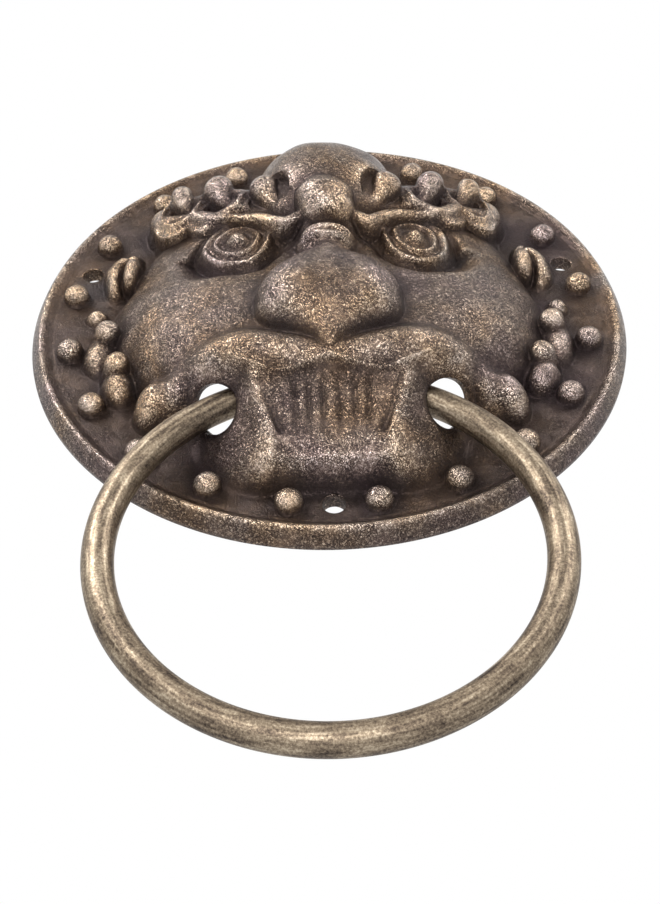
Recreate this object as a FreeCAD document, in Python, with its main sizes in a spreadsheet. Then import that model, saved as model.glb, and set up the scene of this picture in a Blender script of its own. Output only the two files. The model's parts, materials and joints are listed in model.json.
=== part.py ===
import FreeCAD
import Part
import Sketcher
import math
import os

# A door knocker, drawn upright as it hangs: x to the right, z up, the door's face at y = 0, and
# the mask standing out from the door towards -y. In the relief functions "height" is how far a
# point stands out from the door.

doc = FreeCAD.newDocument("lion_knocker")

# Sizes in millimetres and degrees.
driving = {
    # round plate
    "plateRadius": 60.0,
    "plateThick": 3.0,
    "lipHeight": 4.3,
    "lipFootInset": 3.6,
    "lipCrestInset": 2.1,
    "edgeHeight": 1.0,
    "lipRound": 0.7,
    # studs and screw holes on the plate's border
    "studCircle": 52.2,
    "studRadius": 2.65,
    "studRise": 0.7,
    "studPairs": 9,
    "studFirstAngle": 8.9,
    "studStepAngle": 16.6,
    "studSpreadAngle": 0.25,
    "screwCircle": 51.6,
    "screwHoleRadius": 2.1,
    "screwSideAngle": 107.4,
    # ring and the mouth holes that it hangs in
    "rodRadius": 2.8,
    "ringRadius": 39.0,
    "ringTopZ": -26.8,
    "ringStandOff": 8.9,
    "ringSideShift": 0.9,
    "ringSplit": 0.6,
    "mouthHoleX": 20.5,
    "mouthHoleRadius": 5.1,
    "mouthHoleSide": 0.65,
    "mouthHoleDown": 0.53,
    "mouthHoleReach": 6.0,
    "rodRoom": 0.7,
    "knockAngle": 4.0,
    "liftAngle": 80.0,
    # hollow casting
    "wallThick": 2.3,
    "wallSpare": 1.0,
    "reliefStep": 2.2,
    "reliefFoot": 1.5,
    # lion mask: where its features lie and how far they stand out from the door
    "faceHalfWidth": 44.0,
    "faceTopZ": 40.0,
    "faceFootZ": -54.0,
    "cheekHeight": 18.9,
    "foreheadRadius": 17.0,
    "foreheadZ": 26.0,
    "foreheadHeight": 24.4,
    "browInnerZ": 12.4,
    "browOuterX": 34.4,
    "browOuterZ": 25.2,
    "browInnerHeight": 20.8,
    "browOuterHeight": 9.8,
    "browBeadRadius": 2.8,
    "eyeX": 18.2,
    "eyeZ": 8.9,
    "eyeRadius": 8.5,
    "eyeHeight": 16.7,
    "knobTopZ": 15.6,
    "knobRadius": 5.9,
    "knobHeight": 25.3,
    "noseTopZ": 2.0,
    "noseTipZ": -28.6,
    "noseHalfWidth": 14.5,
    "noseHeight": 27.8,
    "lipRise": 7.9,
    "lipRadius": 4.9,
    "lipTopHeight": 20.9,
    "blockTopZ": -26.5,
    "blockFootZ": -49.6,
    "blockTopHeight": 18.0,
    "blockTopHalfWidth": 15.4,
    "blockWaistHalfWidth": 11.4,
    "flankHalfWidth": 26.0,
    "curlHeight": 8.4,
}

sheet = doc.addObject("Spreadsheet::Sheet", "sizes")
for row, (alias, value) in enumerate(driving.items(), start=1):
    sheet.set("A%d" % row, alias)
    sheet.set("B%d" % row, str(value))
    sheet.setAlias("B%d" % row, alias)
doc.recompute()


class Sizes:
    pass


sizes = Sizes()
for alias in driving:
    setattr(sizes, alias, float(sheet.get(alias)))


# The ring hangs with its middle this far down, so that its rod runs through the mouth holes.
ringZ = -sizes.ringRadius + sizes.ringTopZ
mouthZ = ringZ + math.sqrt(sizes.ringRadius ** 2 - sizes.mouthHoleX ** 2)


# ------------------------------------------------------------ forms that the relief is made of

def smoothMax(a, b, blend):
    # the higher of two heights, with the crease between them rounded
    d = min(max(0.5 + 0.5 * (a - b) / blend, 0.0), 1.0)
    return b * (1.0 - d) + a * d + blend * d * (1.0 - d)


def smoothMin(a, b, blend):
    return -smoothMax(-a, -b, blend)


def limited(value):
    return min(max(value, 0.0), 1.0)


def rounded(stations, pieces=5):
    # a smooth path through stations, each a row of numbers
    first = [2 * a - b for a, b in zip(stations[0], stations[1])]
    last = [2 * a - b for a, b in zip(stations[-1], stations[-2])]
    ends = [first] + [list(row) for row in stations] + [last]
    path = []
    for a, b, c, d in zip(ends, ends[1:], ends[2:], ends[3:]):
        for k in range(pieces):
            t = k / pieces
            path.append([0.5 * (2 * q + (r - p) * t + (2 * p - 5 * q + 4 * r - s) * t * t
                                + (3 * q - p - 3 * r + s) * t ** 3) for p, q, r, s in zip(a, b, c, d)])
    path.append(list(stations[-1]))
    return path


def reading(value, path):
    # the second number of a path, read where its first is "value"
    for a, b in zip(path[:-1], path[1:]):
        if value <= b[0]:
            t = max(value - a[0], 0.0) / (b[0] - a[0])
            return a[1] + (b[1] - a[1]) * t
    return path[-1][1]


def turned(x, z, centre, turn):
    c, s = math.cos(math.radians(turn)), math.sin(math.radians(turn))
    dx, dz = x - centre[0], z - centre[1]
    return dx * c + dz * s, dz * c - dx * s


def swelling(x, z, centre, half, foot, top, power=2.2, turn=0.0, bulge=0.5):
    # a form with an oval outline: "foot" high at its outline, "top" high in the middle
    u, v = turned(x, z, centre, turn)
    d = abs(u / half[0]) ** power + abs(v / half[1]) ** power
    if d < 1.0:
        return foot + (top - foot) * (1.0 - d) ** bulge
    return foot - 2.0 * sizes.wallThick * (d - 1.0)


def ballTop(d, radius, top):
    # part of a ball, its highest point at "top"
    if d < radius:
        return top - radius + math.sqrt(radius * radius - d * d)
    return top - radius - 3.0 * (d - radius)


def softTop(d, radius, top):
    # the same with a flatter top
    if d < radius:
        return top - 0.62 * d * d / radius
    return top - 0.62 * radius - 1.7 * (d - radius)


def roll(x, z, path, profile=ballTop):
    # a roll laid along a path of (x, z, radius, top height)
    best = -sizes.plateRadius
    for a, b in zip(path[:-1], path[1:]):
        sx, sz = b[0] - a[0], b[1] - a[1]
        t = limited(((x - a[0]) * sx + (z - a[1]) * sz) / (sx * sx + sz * sz))
        d = math.hypot(x - a[0] - t * sx, z - a[1] - t * sz)
        best = max(best, profile(d, a[2] + t * (b[2] - a[2]), a[3] + t * (b[3] - a[3])))
    return best


# ------------------------------------------------------------ the lion's face, feature by feature
# "side" is the distance from the middle line, since both halves of the face are alike. Numbers in
# the stations are shares of the named sizes.

faceOutline = rounded([(0.0, 0.227), (0.064, 0.409), (0.128, 0.545), (0.202, 0.648), (0.277, 0.75),
                       (0.319, 0.841), (0.383, 0.932), (0.447, 0.989), (0.5, 1.0), (0.574, 0.989),
                       (0.638, 0.961), (0.707, 0.909), (0.787, 0.841), (0.83, 0.784), (0.883, 0.614),
                       (0.947, 0.318), (1.0, 0.136)])
faceCrest = rounded([(0.0, 0.0), (0.064, 0.185), (0.128, 0.29), (0.202, 0.423), (0.255, 0.608),
                     (0.298, 0.878), (0.362, 0.995), (0.489, 1.0), (0.596, 0.92), (0.702, 0.825),
                     (0.809, 0.741), (0.883, 0.476), (0.947, 0.212), (1.0, 0.0)])


def faceBase(side, z):
    # cheeks and temples: nearly flat in front, rolling down to the plate at the sides
    share = limited((z - sizes.faceFootZ) / (sizes.faceTopZ - sizes.faceFootZ))
    half = sizes.faceHalfWidth * reading(share, faceOutline)
    crest = sizes.cheekHeight * reading(share, faceCrest)
    return crest * (1.0 - limited(side / half) ** 3.2) ** 0.68


def forehead(side, z):
    radius, top = sizes.foreheadRadius, sizes.foreheadHeight
    dome = max(ballTop(math.hypot(side, z - sizes.foreheadZ), radius, top), 0.0)
    skirt = swelling(side, z, (0.0, sizes.foreheadZ - 0.12 * radius), (1.4 * radius, 1.1 * radius),
                     0.1 * top, 0.53 * top, 2.0, 0.0, 0.8)
    return smoothMax(dome, skirt, 0.24 * radius)


def eyes(height, side, z):
    # a socket sunk under the brow, and a flat ball in it that leans outwards
    radius, top = sizes.eyeRadius, sizes.eyeHeight
    lean = 0.2 * (sizes.eyeX - side)
    u, v = turned(side, z, (sizes.eyeX - 0.12 * radius, sizes.eyeZ), -8.0)
    far = math.hypot(u / (1.41 * radius), v / (1.13 * radius))
    if far < 1.5:
        floor = 0.74 * top + lean - 0.07 * top * limited((side - sizes.eyeX) / (0.7 * radius))
        height = smoothMin(height, floor + 0.54 * top * max(far - 0.86, 0.0), 0.26 * radius)
    far = math.hypot(side - sizes.eyeX, z - sizes.eyeZ) / radius
    if far < 2.0:
        corner = swelling(side, z, (sizes.eyeX - 0.72 * radius, sizes.eyeZ + 0.2 * radius),
                          (0.75 * radius, 0.59 * radius), 0.72 * top, 0.91 * top, 2.0, -10.0, 0.6)
        ball = 0.69 * top + lean + 0.19 * top * (1.0 - limited(far) ** 2.4) ** 0.42
        ball -= 0.6 * radius * max(far - 1.0, 0.0)
        height = smoothMax(height, smoothMax(ball, corner, 0.14 * radius), 0.19 * radius)
    return height


def onBrow(share, above, lift=0.0):
    # a place above the brow ridge, at a share of its length: (x, z, height)
    x = sizes.browOuterX * share
    z = sizes.browInnerZ + (sizes.browOuterZ - sizes.browInnerZ) * max(share - 0.25, 0.0) ** 1.2 / 0.71
    height = sizes.browInnerHeight - (sizes.browInnerHeight - sizes.browOuterHeight) * share ** 1.7
    return x, z + above, height + lift


def browRoll(radius, above, lift):
    stations = []
    for share in (0.12, 0.3, 0.48, 0.66, 0.84, 1.0):
        x, z, height = onBrow(share, above, lift)
        stations.append((x, z, radius, height))
    return rounded(stations)


bead = sizes.browBeadRadius
browBank = browRoll(2.05 * bead, 1.96 * bead, 0.0)
browWall = browRoll(1.8 * bead, 0.54 * bead, -1.43 * bead)
browRidge = browRoll(0.8 * bead, 0.18 * bead, 0.0)


def brow(height, side, z):
    # a scalloped brow: a raised ridge, and behind it three bowls with a bead in each
    height = smoothMax(height, roll(side, z, browWall), 0.7 * bead)
    height = smoothMax(height, roll(side, z, browBank), 0.54 * bead)
    height = smoothMax(height, roll(side, z, browRidge), 0.36 * bead)
    for share, wide in ((0.343, 1.8), (0.64, 1.68), (0.872, 1.36)):
        x, middle, level = onBrow(share, 2.0 * bead)
        far = math.hypot(side - x, z - middle) / (wide * bead)
        if far < 1.0 and z < middle + 0.4 * bead:
            height = min(height, level - 1.1 * bead * (1.0 - far * far))
        far = math.hypot(side - x, z - middle - 0.8 * bead)
        height = smoothMax(height, ballTop(far, bead, level + 0.75 * bead), 0.2 * bead)
    return height


knobRadius = sizes.knobRadius
browColumn = rounded([
    (0.0, sizes.knobTopZ, knobRadius, sizes.knobHeight),
    (0.0, sizes.knobTopZ - 0.54 * knobRadius, 1.07 * knobRadius, 0.957 * sizes.knobHeight),
    (0.0, sizes.knobTopZ - 1.12 * knobRadius, 1.19 * knobRadius, 0.862 * sizes.knobHeight),
    (0.0, sizes.knobTopZ - 1.63 * knobRadius, 1.22 * knobRadius, 0.79 * sizes.knobHeight)])


def bridge(height, side, z):
    # the wrinkled saddle between the brow's column and the nose
    saddle = swelling(side, z, (0.0, sizes.noseTopZ + 0.14 * knobRadius),
                      (1.07 * knobRadius, 1.02 * knobRadius),
                      0.553 * sizes.knobHeight, 0.838 * sizes.knobHeight, 2.4, 0.0, 0.4)
    height = smoothMax(height, saddle, 0.1 * knobRadius)
    groove = (z - sizes.noseTopZ - 1.15 * knobRadius + 0.21 * side * side / knobRadius) / (0.14 * knobRadius)
    return height - 0.2 * knobRadius * math.exp(-groove * groove) * limited(1.4 - side / (1.05 * knobRadius))


noseOutline = rounded([(0.0, 0.1), (0.065, 0.29), (0.13, 0.455), (0.23, 0.676), (0.36, 0.876), (0.49, 0.98),
                       (0.62, 1.0), (0.7, 0.938), (0.77, 0.786), (0.833, 0.545), (0.9, 0.29), (1.0, 0.034)])
noseCrest = rounded([(0.0, 0.708), (0.1, 0.81), (0.2, 0.89), (0.33, 0.955), (0.46, 0.98), (0.62, 0.97),
                     (0.75, 0.915), (0.88, 0.835), (1.0, 0.752)])
noseFoot = rounded([(0.0, 0.657), (0.2, 0.635), (0.4, 0.613), (0.72, 0.606), (1.0, 0.7)])


def nose(height, side, z):
    # narrow where it leaves the bridge, broad at the wings, pointed over the lip
    share = (sizes.noseTopZ - z) / (sizes.noseTopZ - sizes.noseTipZ)
    if share < 0.0 or share > 1.0:
        return height
    d = side / (sizes.noseHalfWidth * reading(share, noseOutline))
    foot = sizes.noseHeight * reading(share, noseFoot)
    if d >= 1.0:
        return smoothMax(height, foot - 0.8 * sizes.noseHalfWidth * (d - 1.0), 0.06 * sizes.noseHalfWidth)
    crest = sizes.noseHeight * reading(share, noseCrest)
    power = 1.5 + 1.3 * limited((share - 0.13) / 0.4)
    bell = foot + (crest - foot) * (1.0 - d ** power) ** 0.55
    wing = math.hypot(side - 0.6 * sizes.noseHalfWidth, z - sizes.noseTipZ - 0.97 * sizes.noseHalfWidth)
    bell += 0.055 * sizes.noseHalfWidth * math.exp(-(3.0 * wing / sizes.noseHalfWidth) ** 2)
    return smoothMax(height, bell, 0.06 * sizes.noseHalfWidth)


def lipStation(share, rise, thick, drop):
    # the lip arches over the mouth holes, so its stations are measured from them
    return (sizes.mouthHoleX * share, mouthZ + sizes.lipRise * rise, sizes.lipRadius * thick,
            sizes.lipTopHeight * drop)


lipPath = rounded([lipStation(*station) for station in (
    (0.0, 0.484, 0.53, 0.971), (0.22, 0.56, 0.714, 0.99), (0.463, 0.66, 0.898, 1.0),
    (0.683, 0.813, 1.0, 0.986),
    (0.868, 0.977, 0.98, 0.928), (1.044, 1.01, 0.86, 0.828), (1.249, 0.93, 0.66, 0.636),
    (1.424, 0.7, 0.7, 0.526), (1.561, 0.56, 0.694, 0.431))])


def upperLip(height, side, z):
    # a broad soft lip, flatter than a round roll
    return smoothMax(height, roll(side, z, lipPath, softTop), 0.33 * sizes.lipRadius)


blockFront = rounded([(0.0, 1.0), (0.169, 0.933), (0.36, 0.817), (0.551, 0.7), (0.754, 0.589),
                      (0.839, 0.489), (0.907, 0.322), (0.958, 0.167), (1.0, 0.028)])
blockWaist = rounded([(0.0, 0.0), (0.169, 0.2), (0.36, 0.5), (0.551, 0.825), (0.754, 1.0), (0.847, 0.8),
                      (0.953, 0.4), (1.0, 0.225)])
flankFoot = rounded([(0.0, 0.94), (0.275, 0.98), (0.487, 1.0), (0.742, 0.923), (0.911, 0.75), (1.0, 0.6)])


def jawBlock(height, side, z):
    # the tooth block and chin: a sloping front, and flanks that spread down to the plate
    share = (sizes.blockTopZ - z) / (sizes.blockTopZ - sizes.blockFootZ)
    if share < 0.0:
        return height
    share = min(share, 1.0)
    front = sizes.blockTopHeight * reading(share, blockFront)
    waist = sizes.blockTopHalfWidth - sizes.blockWaistHalfWidth
    half = sizes.blockTopHalfWidth - waist * reading(share, blockWaist)
    foot = sizes.flankHalfWidth * reading(share, flankFoot)
    spread = limited((side - half) / (foot - half))
    low = 0.67 * sizes.plateThick
    block = front + (low - front) * spread ** 1.15
    return smoothMax(height, block, 0.25 * sizes.wallThick)


def maneCurls(height, side, z):
    # curls beside the cheeks, each with a bead at its upper end
    wide, curl = sizes.faceHalfWidth, sizes.curlHeight
    for x, middle, across, tall, foot, top, turn in (
            (0.968, 0.305, 0.093, 0.182, 0.12, 0.88, 14.0), (1.027, -0.259, 0.086, 0.15, 0.12, 0.81, -6.0),
            (0.923, -0.482, 0.098, 0.114, 0.12, 0.905, -4.0), (0.748, -0.614, 0.107, 0.118, 0.12, 1.21, 0.0),
            (1.059, 0.014, 0.064, 0.059, 0.12, 0.64, 0.0), (0.914, 0.259, 0.05, 0.095, 0.48, 1.095, 10.0)):
        height = smoothMax(height, swelling(side, z, (wide * x, wide * middle), (wide * across, wide * tall),
                                            foot * curl, top * curl, 2.0, turn), 0.1 * curl)
    for x, middle, top in ((0.998, -0.168, 1.095), (0.923, -0.405, 1.167)):
        far = math.hypot(side - wide * x, z - wide * middle)
        height = smoothMax(height, ballTop(far, 0.31 * curl, top * curl), 0.05 * curl)
    return height


def maskHeight(x, z):
    side = abs(x)
    height = smoothMax(faceBase(side, z), forehead(side, z), sizes.plateThick)
    height = eyes(height, side, z)
    height = brow(height, side, z)
    height = smoothMax(height, roll(side, z, browColumn), 0.3 * knobRadius)
    height = bridge(height, side, z)
    height = nose(height, side, z)
    height = upperLip(height, side, z)
    height = jawBlock(height, side, z)
    return maneCurls(height, side, z)


# ------------------------------------------------------------ the relief as surfaces

def heightGrid():
    # one row per x, one entry per z, over a square that covers the whole mask
    count = 2 * int(0.5 * sizes.plateRadius / sizes.reliefStep)
    ticks = [sizes.reliefStep * i for i in range(-count, count + 1)]
    return ticks, [[max(maskHeight(x, z), sizes.reliefFoot) for z in ticks] for x in ticks]


def crisp(grid):
    # lifts crests and deepens creases a little, which the smooth surface then rounds off again
    last = len(grid) - 1
    result = []
    for i, line in enumerate(grid):
        before, after = grid[max(i - 1, 0)], grid[min(i + 1, last)]
        sides = [line[max(j - 1, 0)] + line[min(j + 1, last)] for j in range(last + 1)]
        result.append([h + (4.0 * h - before[j] - after[j] - sides[j]) / 6.0 for j, h in enumerate(line)])
    return result


def hollowed(ticks, grid):
    # the inside of the casting on every second tick: at least one wall thickness in from the
    # front, measured every way
    last = len(grid) - 1
    reach = int(math.ceil(1.5 * sizes.wallThick / sizes.reliefStep))
    steps = [(i, j) for i in range(-reach, reach + 1) for j in range(-reach, reach + 1)]
    result = []
    for i in range(0, last + 1, 2):
        line = []
        for j in range(0, last + 1, 2):
            inner = grid[i][j] - sizes.wallThick
            for di, dj in steps:
                near = grid[min(max(i + di, 0), last)][min(max(j + dj, 0), last)]
                away = sizes.reliefStep * math.hypot(di, dj)
                inner = min(inner, near - math.sqrt(max(sizes.wallThick ** 2 - 0.25 * away ** 2, 0.0)))
            line.append(inner - sizes.wallSpare)
        result.append(line)
    return ticks[::2], result


def reliefSolid(ticks, grid, depth):
    # everything between a relief surface and a copy of it "depth" further towards the door
    poles = [[FreeCAD.Vector(x, -grid[i][j], z) for j, z in enumerate(ticks)]
             for i, x in enumerate(ticks)]
    spans = len(ticks) - 3
    knots = [float(k) for k in range(spans + 1)]
    repeats = [4] + [1] * (spans - 1) + [4]
    surface = Part.BSplineSurface()
    surface.buildFromPolesMultsKnots(poles, repeats, repeats, knots, knots, False, False, 3, 3)
    return surface.toShape().extrude(FreeCAD.Vector(0.0, depth, 0.0))


def addShape(name, shape):
    feature = doc.addObject("Part::Feature", name)
    feature.Shape = shape
    return feature


def sketchOn(body, role, name):
    # a sketch lying in one of the body's own origin planes
    plane = [f for f in body.Origin.OriginFeatures if f.Role == role][0]
    sketch = body.newObject("Sketcher::SketchObject", name)
    sketch.AttachmentSupport = [(plane, "")]
    sketch.MapMode = "FlatFace"
    return sketch


def closedOutline(sketch, corners):
    # straight sides between corners; each corner is two expressions, across and up from the origin
    # (the corners start on a plain curve, and the constraints pull each one to its place)
    count = len(corners)
    points = [FreeCAD.Vector(i, i * i, 0.0) for i in range(count)]
    for i in range(count):
        sketch.addGeometry(Part.LineSegment(points[i], points[(i + 1) % count]), False)
    for i in range(count):
        sketch.addConstraint(Sketcher.Constraint("Coincident", i, 2, (i + 1) % count, 1))
    for i, corner in enumerate(corners):
        for kind, text, place in zip(("DistanceX", "DistanceY"), corner, (points[i].x, points[i].y)):
            index = sketch.addConstraint(Sketcher.Constraint(kind, -1, 1, i, 1, place))
            sketch.setExpression("Constraints[%d]" % index, text)


def revolved(body, sketch, name, angle):
    # a full or part turn about the sketch's upright axis
    turn = body.newObject("PartDesign::Revolution", name)
    turn.Profile = sketch
    turn.ReferenceAxis = (sketch, ["V_Axis"])
    turn.Angle = angle
    return turn


# ------------------------------------------------------------ round plate with its raised lip

plateBody = doc.addObject("PartDesign::Body", "plateBody")
plateSketch = sketchOn(plateBody, "XY_Plane", "plateProfile")
closedOutline(plateSketch, [
    ("0", "0"),
    ("sizes.plateRadius", "0"),
    ("sizes.plateRadius", "-sizes.edgeHeight"),
    ("sizes.plateRadius - sizes.lipCrestInset", "-sizes.lipHeight"),
    ("sizes.plateRadius - sizes.lipFootInset", "-sizes.plateThick"),
    ("0", "-sizes.plateThick"),
])
plateTurn = revolved(plateBody, plateSketch, "plateTurn", 360.0)
doc.recompute()


def circleEdges(shape, radius):
    # names of the round edges of this radius
    return ["Edge%d" % (i + 1) for i, edge in enumerate(shape.Edges)
            if hasattr(edge.Curve, "Radius") and abs(edge.Curve.Radius - radius) < 0.001]


lipFillet = plateBody.newObject("PartDesign::Fillet", "lipFillet")
crestRadius = sizes.plateRadius - sizes.lipCrestInset
lipFillet.Base = (plateTurn, circleEdges(plateTurn.Shape, crestRadius))
lipFillet.setExpression("Radius", "sizes.lipRound")
doc.recompute()

# ------------------------------------------------------------ studs round the plate's border


def aroundPlate(circle, angle):
    # a place on the plate, the angle measured from straight down
    turn = math.radians(angle)
    return circle * math.sin(turn), -circle * math.cos(turn)


def studAngles():
    # pairs either side of the lowest point, spreading a little apart towards the top
    angles = [180.0]
    for pair in range(int(sizes.studPairs)):
        angle = sizes.studFirstAngle + sizes.studStepAngle * pair + sizes.studSpreadAngle * pair ** 2
        angles += [angle, -angle]
    return angles


outFromDoor = FreeCAD.Rotation(FreeCAD.Vector(0, 0, 1), FreeCAD.Vector(0, -1, 0))
studs = []
for number, angle in enumerate(studAngles(), start=1):
    stud = doc.addObject("Part::Sphere", "stud%02d" % number)
    stud.setExpression("Radius", "sizes.studRadius")
    studX, studZ = aroundPlate(sizes.studCircle, angle)
    stud.Placement = FreeCAD.Placement(
        FreeCAD.Vector(studX, -sizes.plateThick - sizes.studRise, studZ), outFromDoor)
    studs.append(stud)

# ------------------------------------------------------------ lion mask

ticks, outside = heightGrid()
innerTicks, inside = hollowed(ticks, outside)
farSide = 2.0 * sizes.plateRadius
room = Part.makeBox(farSide, farSide, farSide, FreeCAD.Vector(-0.5 * farSide, -farSide, -0.5 * farSide))
disc = Part.makeCylinder(sizes.plateRadius - sizes.lipFootInset, farSide,
                         FreeCAD.Vector(0.0, -farSide, 0.0), FreeCAD.Vector(0.0, 1.0, 0.0))
relief = addShape("maskRelief", reliefSolid(ticks, crisp(outside), farSide).common(room).common(disc))
cavity = addShape("maskCavity", reliefSolid(innerTicks, inside, farSide))

casting = doc.addObject("Part::MultiFuse", "castingSolid")
casting.Shapes = [plateBody, relief] + studs

# ------------------------------------------------------------ screw holes and mouth holes

holes = [cavity]
for number, angle in enumerate((0.0, sizes.screwSideAngle, -sizes.screwSideAngle), start=1):
    hole = doc.addObject("Part::Cylinder", "screwHole%d" % number)
    hole.setExpression("Radius", "sizes.screwHoleRadius")
    hole.setExpression("Height", "3 * sizes.plateThick")
    holeX, holeZ = aroundPlate(sizes.screwCircle, angle)
    hole.Placement = FreeCAD.Placement(FreeCAD.Vector(holeX, sizes.plateThick, holeZ), outFromDoor)
    holes.append(hole)

mouthOut = math.sqrt(1.0 - sizes.mouthHoleSide ** 2 - sizes.mouthHoleDown ** 2)
for hand, side in ((-1.0, "Left"), (1.0, "Right")):
    outward = FreeCAD.Vector(hand * sizes.mouthHoleSide, -mouthOut, -sizes.mouthHoleDown)
    centre = FreeCAD.Vector(hand * sizes.mouthHoleX, -sizes.ringStandOff, mouthZ)
    hole = doc.addObject("Part::Cylinder", "mouthHole%s" % side)
    hole.setExpression("Radius", "sizes.mouthHoleRadius")
    hole.setExpression("Height", "2 * sizes.mouthHoleReach")
    hole.Placement = FreeCAD.Placement(centre - outward * sizes.mouthHoleReach,
                                       FreeCAD.Rotation(FreeCAD.Vector(0, 0, 1), outward))
    holes.append(hole)

# Room in the hollow for the ring's hidden arc, from the knock to the ring held straight out.
pivot = FreeCAD.Vector(0.0, -sizes.ringStandOff, mouthZ)
axisOut = FreeCAD.Vector(-1.0, 0.0, 0.0)
roomRadius = sizes.rodRadius + sizes.rodRoom
ringMiddle = FreeCAD.Vector(-sizes.ringSideShift, -sizes.ringStandOff, ringZ)
arcHalf = math.degrees(math.asin((sizes.mouthHoleX - 0.5 * roomRadius) / sizes.ringRadius))


def onRing(radius, angle):
    # a place in the plane of the hanging ring, the angle measured from its top
    turn = math.radians(angle)
    return ringMiddle + FreeCAD.Vector(radius * math.sin(turn), 0.0, radius * math.cos(turn))


def ringArc(radius):
    return Part.Arc(onRing(radius, -arcHalf), onRing(radius, 0.0), onRing(radius, arcHalf)).toShape()


innerArc = ringArc(sizes.ringRadius)
roomEdge = sizes.ringRadius + roomRadius
sweepFace = Part.Face(Part.Wire([
    innerArc,
    Part.makeLine(onRing(sizes.ringRadius, arcHalf), onRing(roomEdge, arcHalf)),
    ringArc(roomEdge),
    Part.makeLine(onRing(roomEdge, -arcHalf), onRing(sizes.ringRadius, -arcHalf)),
]))
sweepFace.rotate(pivot, axisOut, -sizes.knockAngle)
sweepRoom = sweepFace.revolve(pivot, axisOut, sizes.knockAngle + sizes.liftAngle)
rodPath = Part.Wire([innerArc])
rodEnd = Part.Wire([Part.Circle(onRing(sizes.ringRadius, -arcHalf),
                                rodPath.Edges[0].tangentAt(rodPath.Edges[0].FirstParameter),
                                roomRadius).toShape()])
rodRoom = rodPath.makePipeShell([rodEnd], True, True)
for angle in (-sizes.knockAngle, sizes.liftAngle):
    endRoom = rodRoom.copy()
    endRoom.rotate(pivot, axisOut, angle)
    sweepRoom = sweepRoom.fuse(endRoom)
holes.append(addShape("hiddenArcRoom", sweepRoom))

maskPlate = doc.addObject("Part::Cut", "maskPlate")
maskPlate.Base = casting
cutters = doc.addObject("Part::MultiFuse", "castingCutters")
cutters.Shapes = holes
maskPlate.Tool = cutters
maskPlate.Label = "mask_plate"

# ------------------------------------------------------------ ring of bent rod, its ends met inside the mask

ringBody = doc.addObject("PartDesign::Body", "ringBody")
ringSketch = sketchOn(ringBody, "XY_Plane", "rodSection")
rodCircle = Part.Circle(FreeCAD.Vector(sizes.ringRadius, 0, 0), FreeCAD.Vector(0, 0, 1), sizes.rodRadius)
ringSketch.addGeometry(rodCircle, False)
for kind, place, text in (("Radius", (0, sizes.rodRadius), "sizes.rodRadius"),
                          ("DistanceX", (-1, 1, 0, 3, sizes.ringRadius), "sizes.ringRadius")):
    index = ringSketch.addConstraint(Sketcher.Constraint(kind, *place))
    ringSketch.setExpression("Constraints[%d]" % index, text)
ringSketch.addConstraint(Sketcher.Constraint("PointOnObject", 0, 3, -1))
splitAngle = math.degrees(sizes.ringSplit / sizes.ringRadius)
ringTurn = revolved(ringBody, ringSketch, "ringTurn", 360.0 - splitAngle)
ringBody.Label = "knocker_ring"
ringBody.Placement = FreeCAD.Placement(
    ringMiddle,
    FreeCAD.Rotation(FreeCAD.Vector(0, 1, 0), -90.0 - 0.5 * splitAngle))

# ------------------------------------------------------------ check and write

doc.recompute()
for item in doc.Objects:
    faults = [state for state in item.State if state in ("Invalid", "Error")]
    shape = getattr(item, "Shape", None)
    if faults or (shape is not None and (shape.isNull() or not shape.isValid())):
        raise RuntimeError("%s did not build: %s" % (item.Name, faults))

os.makedirs("parts", exist_ok=True)
for item in (maskPlate, ringBody):
    if len(item.Shape.Solids) != 1:
        raise RuntimeError("%s is %d solids" % (item.Label, len(item.Shape.Solids)))
    item.Shape.exportStep("parts/%s.step" % item.Label)
    print(item.Label, round(item.Shape.Volume, 1), item.Shape.BoundBox)
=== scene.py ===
import json
import math
import bpy
import numpy as np
from mathutils import Matrix, Vector


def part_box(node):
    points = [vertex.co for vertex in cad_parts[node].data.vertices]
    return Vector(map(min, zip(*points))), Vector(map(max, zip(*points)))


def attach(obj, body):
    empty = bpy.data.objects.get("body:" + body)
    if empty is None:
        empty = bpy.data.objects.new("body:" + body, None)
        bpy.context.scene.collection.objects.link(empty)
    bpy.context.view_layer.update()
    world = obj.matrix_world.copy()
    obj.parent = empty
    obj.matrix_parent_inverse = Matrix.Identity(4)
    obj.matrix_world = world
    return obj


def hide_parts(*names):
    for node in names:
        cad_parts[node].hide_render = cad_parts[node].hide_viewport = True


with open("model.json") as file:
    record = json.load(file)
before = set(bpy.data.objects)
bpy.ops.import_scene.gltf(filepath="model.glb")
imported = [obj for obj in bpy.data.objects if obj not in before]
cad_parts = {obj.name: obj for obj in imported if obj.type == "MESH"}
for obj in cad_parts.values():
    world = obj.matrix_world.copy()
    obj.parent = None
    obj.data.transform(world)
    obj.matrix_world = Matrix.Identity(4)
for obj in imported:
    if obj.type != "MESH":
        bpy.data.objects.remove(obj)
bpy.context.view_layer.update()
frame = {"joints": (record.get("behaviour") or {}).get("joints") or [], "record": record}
print("frame loaded")

mm = 0.001

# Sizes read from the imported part, in millimetres. The mask faces -Y, so height means -Y.
plateLow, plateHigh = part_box("mask_plate")
ringLow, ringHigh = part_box("knocker_ring")
plateRadius = (plateHigh.x - plateLow.x) / 2 / mm
rodRadius = (ringHigh.y - ringLow.y) / 2 / mm
ringRadius = (ringHigh.z - ringLow.z) / 2 / mm - rodRadius
ringX = (ringHigh.x + ringLow.x) / 2 / mm
ringZ = (ringHigh.z + ringLow.z) / 2 / mm
ringHeight = -(ringHigh.y + ringLow.y) / 2 / mm
pivotZ = frame["joints"][0]["pos_m"][2] / mm  # the ring swings about this level

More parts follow.
